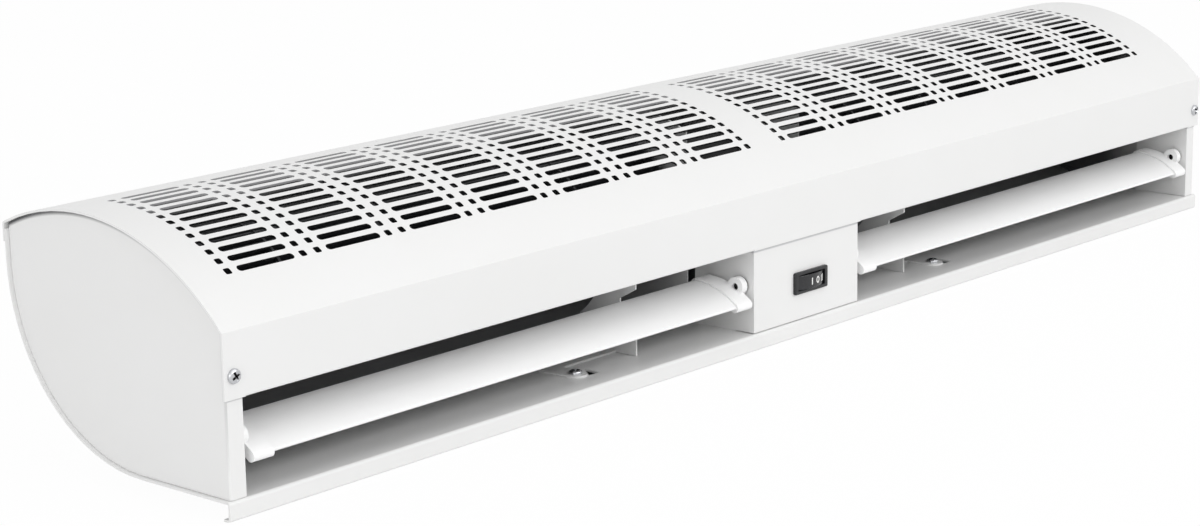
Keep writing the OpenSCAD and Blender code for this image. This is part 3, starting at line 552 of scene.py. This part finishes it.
def grille_tree():
    """Geometry nodes that punch the cover: cells on a grid, rolled to the sheet's radius and joined to it."""
    tree = bpy.data.node_groups.new("punched_grille", "GeometryNodeTree")
    face = tree.interface
    face.new_socket("Sheet", in_out="INPUT", socket_type="NodeSocketGeometry")
    for name, kind in (("Cell", "NodeSocketObject"), ("Material", "NodeSocketMaterial"),
                       ("Columns", "NodeSocketInt"), ("Rows", "NodeSocketInt"),
                       ("Column Pitch", "NodeSocketFloat"), ("Row Pitch", "NodeSocketFloat"),
                       ("First Row", "NodeSocketFloat"), ("Left Group", "NodeSocketFloat"),
                       ("Right Group", "NodeSocketFloat"), ("Radius", "NodeSocketFloat"),
                       ("Start Angle", "NodeSocketFloat"), ("Centre", "NodeSocketVector")):
        face.new_socket(name, in_out="INPUT", socket_type=kind)
    face.new_socket("Sheet", in_out="OUTPUT", socket_type="NodeSocketGeometry")
    given = add(tree, "NodeGroupInput").outputs

    def calc(operation, *values):
        return add(tree, "ShaderNodeMath", dict(enumerate(values)), operation=operation).outputs[0]

    span_x = calc("MULTIPLY", calc("SUBTRACT", given["Columns"], 1.0), given["Column Pitch"])
    span_s = calc("MULTIPLY", calc("SUBTRACT", given["Rows"], 1.0), given["Row Pitch"])
    grid = add(tree, "GeometryNodeMeshGrid", {"Size X": span_x, "Size Y": span_s,
                                              "Vertices X": given["Columns"], "Vertices Y": given["Rows"]})
    cell = add(tree, "GeometryNodeObjectInfo", {"Object": given["Cell"]})
    punched = add(tree, "GeometryNodeInstanceOnPoints", {"Points": grid.outputs["Mesh"],
                                                         "Instance": cell.outputs["Geometry"]})
    both = add(tree, "GeometryNodeJoinGeometry")
    for start in ("Right Group", "Left Group"):
        shift = add(tree, "ShaderNodeCombineXYZ", {
            "X": calc("ADD", given[start], calc("MULTIPLY", span_x, 0.5)),
            "Y": calc("ADD", given["First Row"], calc("MULTIPLY", span_s, 0.5))})
        moved = add(tree, "GeometryNodeTransform", {"Geometry": punched.outputs["Instances"],
                                                    "Translation": shift.outputs["Vector"]})
        tree.links.new(moved.outputs["Geometry"], both.inputs["Geometry"])
    flat = add(tree, "GeometryNodeRealizeInstances", {"Geometry": both.outputs["Geometry"]})
    place = add(tree, "ShaderNodeSeparateXYZ", {"Vector": add(tree, "GeometryNodeInputPosition").outputs[0]})
    centre = add(tree, "ShaderNodeSeparateXYZ", {"Vector": given["Centre"]})
    angle = calc("ADD", given["Start Angle"], calc("DIVIDE", place.outputs["Y"], given["Radius"]))
    y = calc("SUBTRACT", centre.outputs["Y"], calc("MULTIPLY", given["Radius"], calc("COSINE", angle)))
    z = calc("ADD", centre.outputs["Z"], calc("MULTIPLY", given["Radius"], calc("SINE", angle)))
    bent = add(tree, "ShaderNodeCombineXYZ", {"X": place.outputs["X"], "Y": y, "Z": z})
    rolled_cells = add(tree, "GeometryNodeSetPosition", {"Geometry": flat.outputs["Geometry"],
                                                         "Position": bent.outputs["Vector"]})
    whole = add(tree, "GeometryNodeJoinGeometry", {"Geometry": rolled_cells.outputs["Geometry"]})
    tree.links.new(given["Sheet"], whole.inputs["Geometry"])
    welded = add(tree, "GeometryNodeMergeByDistance", {"Geometry": whole.outputs["Geometry"],
                                                       "Distance": 0.02 * MM})
    real = add(tree, "GeometryNodeRealizeInstances", {"Geometry": welded.outputs["Geometry"]})
    coated = add(tree, "GeometryNodeSetMaterial", {"Geometry": real.outputs["Geometry"],
                                                   "Material": given["Material"]})
    add(tree, "NodeGroupOutput", {"Sheet": coated.outputs["Geometry"]})
    return tree


def grow(piece, tree, **values):
    """A geometry-nodes modifier with its named inputs filled."""
    modifier = piece.modifiers.new(tree.name, "NODES")
    modifier.node_group = tree
    for socket in tree.interface.items_tree:
        key = socket.name.lower().replace(" ", "_")
        if socket.in_out == "INPUT" and key in values:
            modifier[socket.identifier] = values[key]


cover = blank_sheet()
cell = column_cell()
grow(cover, grille_tree(), cell=cell, material=cover_coat, columns=COLUMNS, rows=ROWS,
     column_pitch=COLUMN_PITCH * MM, row_pitch=ROW_PITCH * MM, first_row=FIRST_ROW * MM,
     left_group=GROUP_STARTS[0] * MM, right_group=GROUP_STARTS[1] * MM, radius=COVER_R * MM,
     start_angle=START_A, centre=at(0, *COVER_C))
bake(cover)
bpy.data.objects.remove(cell)
sheet = cover.modifiers.new("sheet", "SOLIDIFY")
sheet.thickness = SHEET * MM
sheet.offset = -1.0
sheet.use_even_offset = True
bake(cover)
soften(cover, 0.22, 2)
settle(cover, "housing", cover_coat, "front_cover")

# Sheet-metal pieces keep their CAD shape, with softened cut edges
dress("rear_casing", casing_coat)
for node in ("left_end_plate", "right_end_plate"):
    dress(node, end_coat, 0.5, 3)
dress("control_box", box_coat, 0.4, 3)
for node in ("left_divider", "right_divider", "left_tongue", "right_tongue", "left_partition", "right_partition"):
    dress(node, inner_coat)
for node in ("left_vane", "left_vane_caps", "right_vane", "right_vane_caps"):
    dress(node, white_abs, 0.4, 3)
dress("vane_pivots", browned_steel, 0.2)
for node in ("wall_plate", "motor_bracket", "motor_straps", "bearing_carriers", "capacitor_clip"):
    dress(node, galvanised)
dress("motor_housing", motor_enamel, 0.6, 3)
dress("motor_shaft", bright_steel, 0.3)
for node in ("motor_rings", "bearing_rubbers", "cable_grommet"):
    dress(node, rubber, 0.3)
dress("bearing_bushes", bronze, 0.2)
dress("capacitor", natural_nylon, 0.4)
dress("terminal_block", natural_nylon, 0.3)


# Screws: one turned and punched, then set on its places
def cross_screw(grip):
    """A pan-head screw along Z, seated at zero, with a tapered cross recess."""
    shape = bmesh.new()
    turned(shape, [(SCREW_R - 0.5, -grip), (SCREW_R, 0.5 - grip), (SCREW_R, 0), (HEAD_R, 0), (HEAD_R, 0.9),
                   (3.5, 1.45), (3.05, 1.85), (2.2, 2.1), (1.1, HEAD_H), (0.2, HEAD_H)])
    head = built(shape, "pan_head_screw")
    shape = bmesh.new()
    loops = []
    for arm, half, z in ((1.2, 0.45, 0.75), (2.9, 0.7, HEAD_H + 0.3)):
        corners = [(half, half), (arm, half), (arm, -half), (half, -half), (half, -arm), (-half, -arm)]
        loops.append([(x, y, z) for x, y in corners + [(-x, -y) for x, y in corners]])
    lofted(shape, loops)
    punch = built(shape, "cross_punch")
    punched = head.modifiers.new("recess", "BOOLEAN")
    punched.object = punch
    punched.operation = "DIFFERENCE"
    punched.solver = "EXACT"
    bake(head)
    bpy.data.objects.remove(punch)
    # Faces of the cross recess, which the zinc colours near black as painted shade
    recess = head.data.attributes.new("recess", "FLOAT", "FACE")
    for face in head.data.polygons:
        middle = face.center / MM
        steep = abs(face.normal.z) < 0.6 or middle.z < 1.0
        inside = math.hypot(middle.x, middle.y) < RECESS_R
        recess.data[face.index].value = float(steep and inside and middle.z > 0.6)
    smooth(head, 40)
    return head


def screws_tree():
    """Geometry nodes that set a screw on each place, turned as the place says."""
    tree = bpy.data.node_groups.new("screws_on_places", "GeometryNodeTree")
    for name, side, kind in (("Places", "INPUT", "Geometry"), ("Screw", "INPUT", "Object"),
                             ("Material", "INPUT", "Material"), ("Screws", "OUTPUT", "Geometry")):
        tree.interface.new_socket(name, in_out=side, socket_type="NodeSocket" + kind)
    given = add(tree, "NodeGroupInput").outputs
    turn = add(tree, "GeometryNodeInputNamedAttribute", {"Name": "turn"}, data_type="FLOAT_VECTOR")
    rotation = add(tree, "FunctionNodeEulerToRotation", {0: turn.outputs[0]})
    screw = add(tree, "GeometryNodeObjectInfo", {"Object": given["Screw"]})
    placed = add(tree, "GeometryNodeInstanceOnPoints", {
        "Points": given["Places"], "Instance": screw.outputs["Geometry"], "Rotation": rotation.outputs[0]})
    real = add(tree, "GeometryNodeRealizeInstances", {"Geometry": placed.outputs["Instances"]})
    plated = add(tree, "GeometryNodeSetMaterial", {"Geometry": real.outputs["Geometry"],
                                                   "Material": given["Material"]})
    add(tree, "NodeGroupOutput", {"Screws": plated.outputs["Geometry"]})
    return tree


set_screws = screws_tree()


def screw_set(node, grip, direction, places):
    """Screws that point one way; each place has the turn at which its cross was left."""
    mesh = bpy.data.meshes.new(node)
    mesh.from_pydata([at(*place) for place, _ in places], [], [])
    turns = mesh.attributes.new("turn", "FLOAT_VECTOR", "POINT")
    upright = Vector(direction).to_track_quat("Z", "Y")
    for k, (_, turn_deg) in enumerate(places):
        turns.data[k].vector = (upright @ Quaternion((0, 0, 1), math.radians(turn_deg))).to_euler()
    piece = link(node, mesh)
    screw = cross_screw(grip)
    grow(piece, set_screws, screw=screw, material=zinc)
    bake(piece)
    bpy.data.objects.remove(screw)
    return piece


front_row = screw_set("front_screws", 6.0, (0, -1, 0), [((-444, 0, 60.9), 28), ((444, 0, 60.9), 61)])
rear_row = screw_set("rear_screws", 6.0, (0, 1, 0), [((x, 162.9, 107.7), spin)
                                                    for x, spin in ((-315, 12), (0, 50), (315, 77))])
join = bmesh.new()
for row in (front_row, rear_row):
    join.from_mesh(row.data)
join.to_mesh(front_row.data)
join.free()
bpy.data.objects.remove(rear_row)
front_row.name = "cover_screws_made"
settle(front_row, "housing", zinc, "cover_screws")
for node, grip, direction, places in (
        ("divider_screws", 4.2, (0, 0, 1), [((-180, 23, 1.2), 35), ((160, 23, 1.2), 8)]),
        ("box_screws", 4.2, (0, 0, 1), [((-44, 39, 1.2), 20), ((44, 39, 1.2), 64)]),
        ("motor_screws", 3.2, (0, 0, 1), [((-26.5, 44.03, 2), 40), ((26.5, 44.03, 2), 5)]),
        ("plate_screws", 4.5, (0, 0, -1), [((x, 59.55, -2.7), spin)
                                          for x, spin in ((-360, 15), (-120, 70), (120, 33), (360, 52))])):
    piece = screw_set(node + "_made", grip, direction, places)
    settle(piece, "housing", zinc, node)


# Fan: one blade bent from sheet, set round the axis, with the rings and hubs turned
def fan_tree():
    """Geometry nodes that set blades round an axis along X, between turned rings."""
    tree = bpy.data.node_groups.new("blades_round_axis", "GeometryNodeTree")
    for name, side, kind in (("Rings", "INPUT", "Geometry"), ("Blade", "INPUT", "Object"),
                             ("Blades", "INPUT", "Int"), ("Axis", "INPUT", "Vector"),
                             ("Material", "INPUT", "Material"), ("Fan", "OUTPUT", "Geometry")):
        tree.interface.new_socket(name, in_out=side, socket_type="NodeSocket" + kind)
    given = add(tree, "NodeGroupInput").outputs
    step = add(tree, "ShaderNodeMath", {0: 2 * math.pi, 1: given["Blades"]}, operation="DIVIDE")
    index = add(tree, "GeometryNodeInputIndex")
    angle = add(tree, "ShaderNodeMath", {0: index.outputs[0], 1: step.outputs[0]}, operation="MULTIPLY")
    euler = add(tree, "ShaderNodeCombineXYZ", {"X": angle.outputs[0]})
    rotation = add(tree, "FunctionNodeEulerToRotation", {0: euler.outputs[0]})
    seats = add(tree, "GeometryNodeMeshLine", {"Count": given["Blades"], "Offset": (0.0, 0.0, 0.0)})
    blade = add(tree, "GeometryNodeObjectInfo", {"Object": given["Blade"]})
    blades = add(tree, "GeometryNodeInstanceOnPoints", {
        "Points": seats.outputs["Mesh"], "Instance": blade.outputs["Geometry"], "Rotation": rotation.outputs[0]})
    whole = add(tree, "GeometryNodeJoinGeometry", {"Geometry": blades.outputs["Instances"]})
    tree.links.new(given["Rings"], whole.inputs["Geometry"])
    moved = add(tree, "GeometryNodeTransform", {"Geometry": whole.outputs["Geometry"],
                                                "Translation": given["Axis"]})
    real = add(tree, "GeometryNodeRealizeInstances", {"Geometry": moved.outputs["Geometry"]})
    coated = add(tree, "GeometryNodeSetMaterial", {"Geometry": real.outputs["Geometry"],
                                                   "Material": given["Material"]})
    add(tree, "NodeGroupOutput", {"Fan": coated.outputs["Geometry"]})
    return tree


def blade(x0, x1):
    """A forward-curved blade of even thickness along X, its root towards the fan's axis."""
    section = arc_points(*BLADE_C, BLADE_R, 61, 124, 6) + arc_points(*BLADE_C, BLADE_R - BLADE_T, 129.4, 55.8, 6)
    shape = bmesh.new()
    lofted(shape, [[(x, y, z) for y, z in section] for x in (x0, x1)])
    made = built(shape, "fan_blade")
    smooth(made, 50)
    return made


def fan_rings(side):
    """The hub discs and the thin rings that the blades pass through, about an axis at the origin."""
    near, far = FAN_X
    shape = bmesh.new()
    hub = [(SHAFT_R + 0.05, near), (FAN_R, near), (FAN_R, near + RING_T), (HUB_R, near + RING_T),
           (HUB_R, near + HUB_L), (SHAFT_R + 0.05, near + HUB_L)]
    turned(shape, [(r, side * x) for r, x in hub], 56, along_x=True, ring=True)
    stub = [(HUB_R, far - HUB_L), (HUB_R, far - RING_T), (FAN_R, far - RING_T), (FAN_R, far), (SHAFT_R, far),
            (SHAFT_R, STUB_END)]
    turned(shape, [(r, side * x) for r, x in stub], 56, along_x=True)
    for k in range(1, FAN_CELLS):
        x = near + k * (far - near) / FAN_CELLS
        ring = [(FAN_R - RING_W, x - RING_T / 2), (FAN_R, x - RING_T / 2), (FAN_R, x + RING_T / 2),
                (FAN_R - RING_W, x + RING_T / 2)]
        turned(shape, [(r, side * h) for r, h in ring], 56, along_x=True, ring=True)
    return shape


blades_round_axis = fan_tree()
for side, node in ((-1, "left_impeller"), (1, "right_impeller")):
    fan = built(fan_rings(side), node + "_made")
    smooth(fan, 40)
    one = blade(side * FAN_X[0], side * FAN_X[1])
    grow(fan, blades_round_axis, blade=one, blades=BLADES, axis=at(0, *FAN_AXIS), material=fan_black)
    bake(fan)
    bpy.data.objects.remove(one)
    settle(fan, body_of_node[node], fan_black, node)


# Switch: a bezel with its barrel and tabs, a crowned key, and the marks printed on the key
def key_face(x):
    """How far back the key's face lies, this far from its middle."""
    return CROWN_Y + CROWN_RISE * (x / CROWN_HALF) ** 2


def frame_loop(w, h, r, y):
    return [(SWITCH_X + x, y, SWITCH_Z + z) for x, z in round_rect(w, h, r)]


shape = bmesh.new()
lofted(shape, [frame_loop(*BARREL, 0.6, 22), frame_loop(*BARREL, 0.6, 1.4), frame_loop(*BEZEL, 1.0, 1.4),
               frame_loop(*BEZEL, 1.0, -0.2), frame_loop(BEZEL[0] - 0.25, BEZEL[1] - 0.25, 0.9, -0.48),
               frame_loop(BEZEL[0] - 0.8, BEZEL[1] - 0.8, 0.7, -0.6), frame_loop(26.1, OPENING_H + 0.6, 0.6, -0.6),
               frame_loop(25.6, OPENING_H + 0.1, 0.5, -0.35), frame_loop(26.4, OPENING_H, 0.5, 1.0),
               frame_loop(27.1, OPENING_H, 0.5, 4.0), frame_loop(27.1, OPENING_H, 0.5, 9.5)], place=at)
for k in (-1, 0, 1):
    tab = [(w, t, y) for w, t, y in ((6.3, 0.8, 21.9), (6.3, 0.8, 28.2), (5.1, 0.5, 29.0))]
    lofted(shape, [[(SWITCH_X + TAB_PITCH * k + x, y, SWITCH_Z + z) for x, z in round_rect(w, t, 0.1, 1)]
                   for w, t, y in tab], place=at)
body = built(shape, "switch_body_made")
smooth(body, 30)
settle(body, "housing", nylon_black, "switch_body")

shape = bmesh.new()
crown = [(CROWN_HALF * k / 8, key_face(CROWN_HALF * k / 8)) for k in range(-8, 9)]
flank = [(13.0, 2.2), (ROCKER_R, ROCKER_Y), (13.05, 6.0)]
outline = crown + flank + [(-x, y) for x, y in flank[::-1]]
lofted(shape, [[(SWITCH_X + x, y, SWITCH_Z + z) for x, y in outline] for z in (-ROCKER_H / 2, ROCKER_H / 2)],
       place=at)
key = built(shape, "switch_rocker_made")
soften(key, 0.3, 3, 40)
settle(key, "rocker", rocker_black, "switch_rocker")


def printed(shape, centre_x, outline, hole=None):
    """A mark a twentieth of a millimetre proud of the key's face, following its crown."""
    def lifted(points, depth):
        return [(SWITCH_X + centre_x + x, key_face(centre_x + x) + depth, SWITCH_Z + z) for x, z in points]
    loops = [lifted(outline, 0.05), lifted(outline, -0.05)]
    if hole:
        loops += [lifted(hole, -0.05), lifted(hole, 0.05)]
    lofted(shape, loops, ring=bool(hole), place=at)


def oval(w, h):
    return [(w / 2 * math.cos(math.pi * k / 12), h / 2 * math.sin(math.pi * k / 12)) for k in range(24)]


shape = bmesh.new()
for x in (-1.9, 8.75, 10.45):
    printed(shape, x, round_rect(MARK_W, MARK_H, 0.3, 3))
printed(shape, 3.7, oval(3.3, MARK_H), oval(1.7, MARK_H - 1.6))
marks = built(shape, "rocker_marks")
settle(marks, "rocker", white_ink)

# Studio: a pale floor, white to the camera, a soft sky and broad lamps
SKY_LIGHT = 0.62
PAPER_SHOWN_WHITE = 0.97


def is_ray(tree, *kinds):
    """1 for rays of any of these kinds, 0 for all others."""
    rays = add(tree, "ShaderNodeLightPath").outputs
    share = rays[kinds[0]]
    for kind in kinds[1:]:
        share = add(tree, "ShaderNodeMath", {0: share, 1: rays[kind]}, operation="MAXIMUM").outputs[0]
    return share


world = bpy.data.worlds.new("studio")
bpy.context.scene.world = world
world.use_nodes = True
tree = world.node_tree
tree.nodes.clear()
seen = is_ray(tree, "Is Camera Ray", "Is Glossy Ray", "Is Transmission Ray")
light = add(tree, "ShaderNodeBackground", {"Color": tint("#ffffff"), "Strength": SKY_LIGHT})
shown = add(tree, "ShaderNodeBackground", {"Color": tint("#ffffff"), "Strength": 1.0})
mixed = add(tree, "ShaderNodeMixShader", {0: seen, 1: light.outputs[0], 2: shown.outputs[0]})
add(tree, "ShaderNodeOutputWorld", {"Surface": mixed.outputs[0]})


def lamp(name, place, target, size, power):
    data = bpy.data.lights.new(name, "AREA")
    data.shape = "RECTANGLE"
    data.size, data.size_y = size
    data.energy = power
    made = link(name, data)
    made.location = place
    made.rotation_euler = (Vector(target) - Vector(place)).to_track_quat("-Z", "Y").to_euler()


lamp("overhead", (0.0, -0.5, 1.9), (0, 0, 0), (2.6, 1.4), 7)
lamp("front", (0.2, -2.3, 1.38), (0, 0, 0.05), (3.0, 0.55), 26)
lamp("left", (-2.7, -0.5, 0.7), (0, 0, 0.05), (2.0, 1.2), 14)

floor_data = bpy.data.meshes.new("floor")
floor_data.from_pydata([(-6, -6, 0), (6, -6, 0), (6, 6, 0), (-6, 6, 0)], [], [(0, 1, 2, 3)])
floor = link("floor", floor_data)
paper = bpy.data.materials.new("white_paper")
paper.use_nodes = True
tree = paper.node_tree
shader = tree.nodes["Principled BSDF"]
shader.inputs["Base Color"].default_value = tint("#f4f4f4")
shader.inputs["Roughness"].default_value = 0.9
seen = is_ray(tree, "Is Camera Ray", "Is Glossy Ray")
share = add(tree, "ShaderNodeMath", {0: seen, 1: PAPER_SHOWN_WHITE}, operation="MULTIPLY")
white = add(tree, "ShaderNodeEmission", {"Color": tint("#ffffff"), "Strength": 1.0})
mixed = add(tree, "ShaderNodeMixShader", {0: share.outputs[0], 1: shader.outputs[0], 2: white.outputs[0]})
tree.links.new(mixed.outputs[0], tree.nodes["Material Output"].inputs["Surface"])
floor_data.materials.append(paper)

bpy.context.scene.view_settings.view_transform = "Standard"
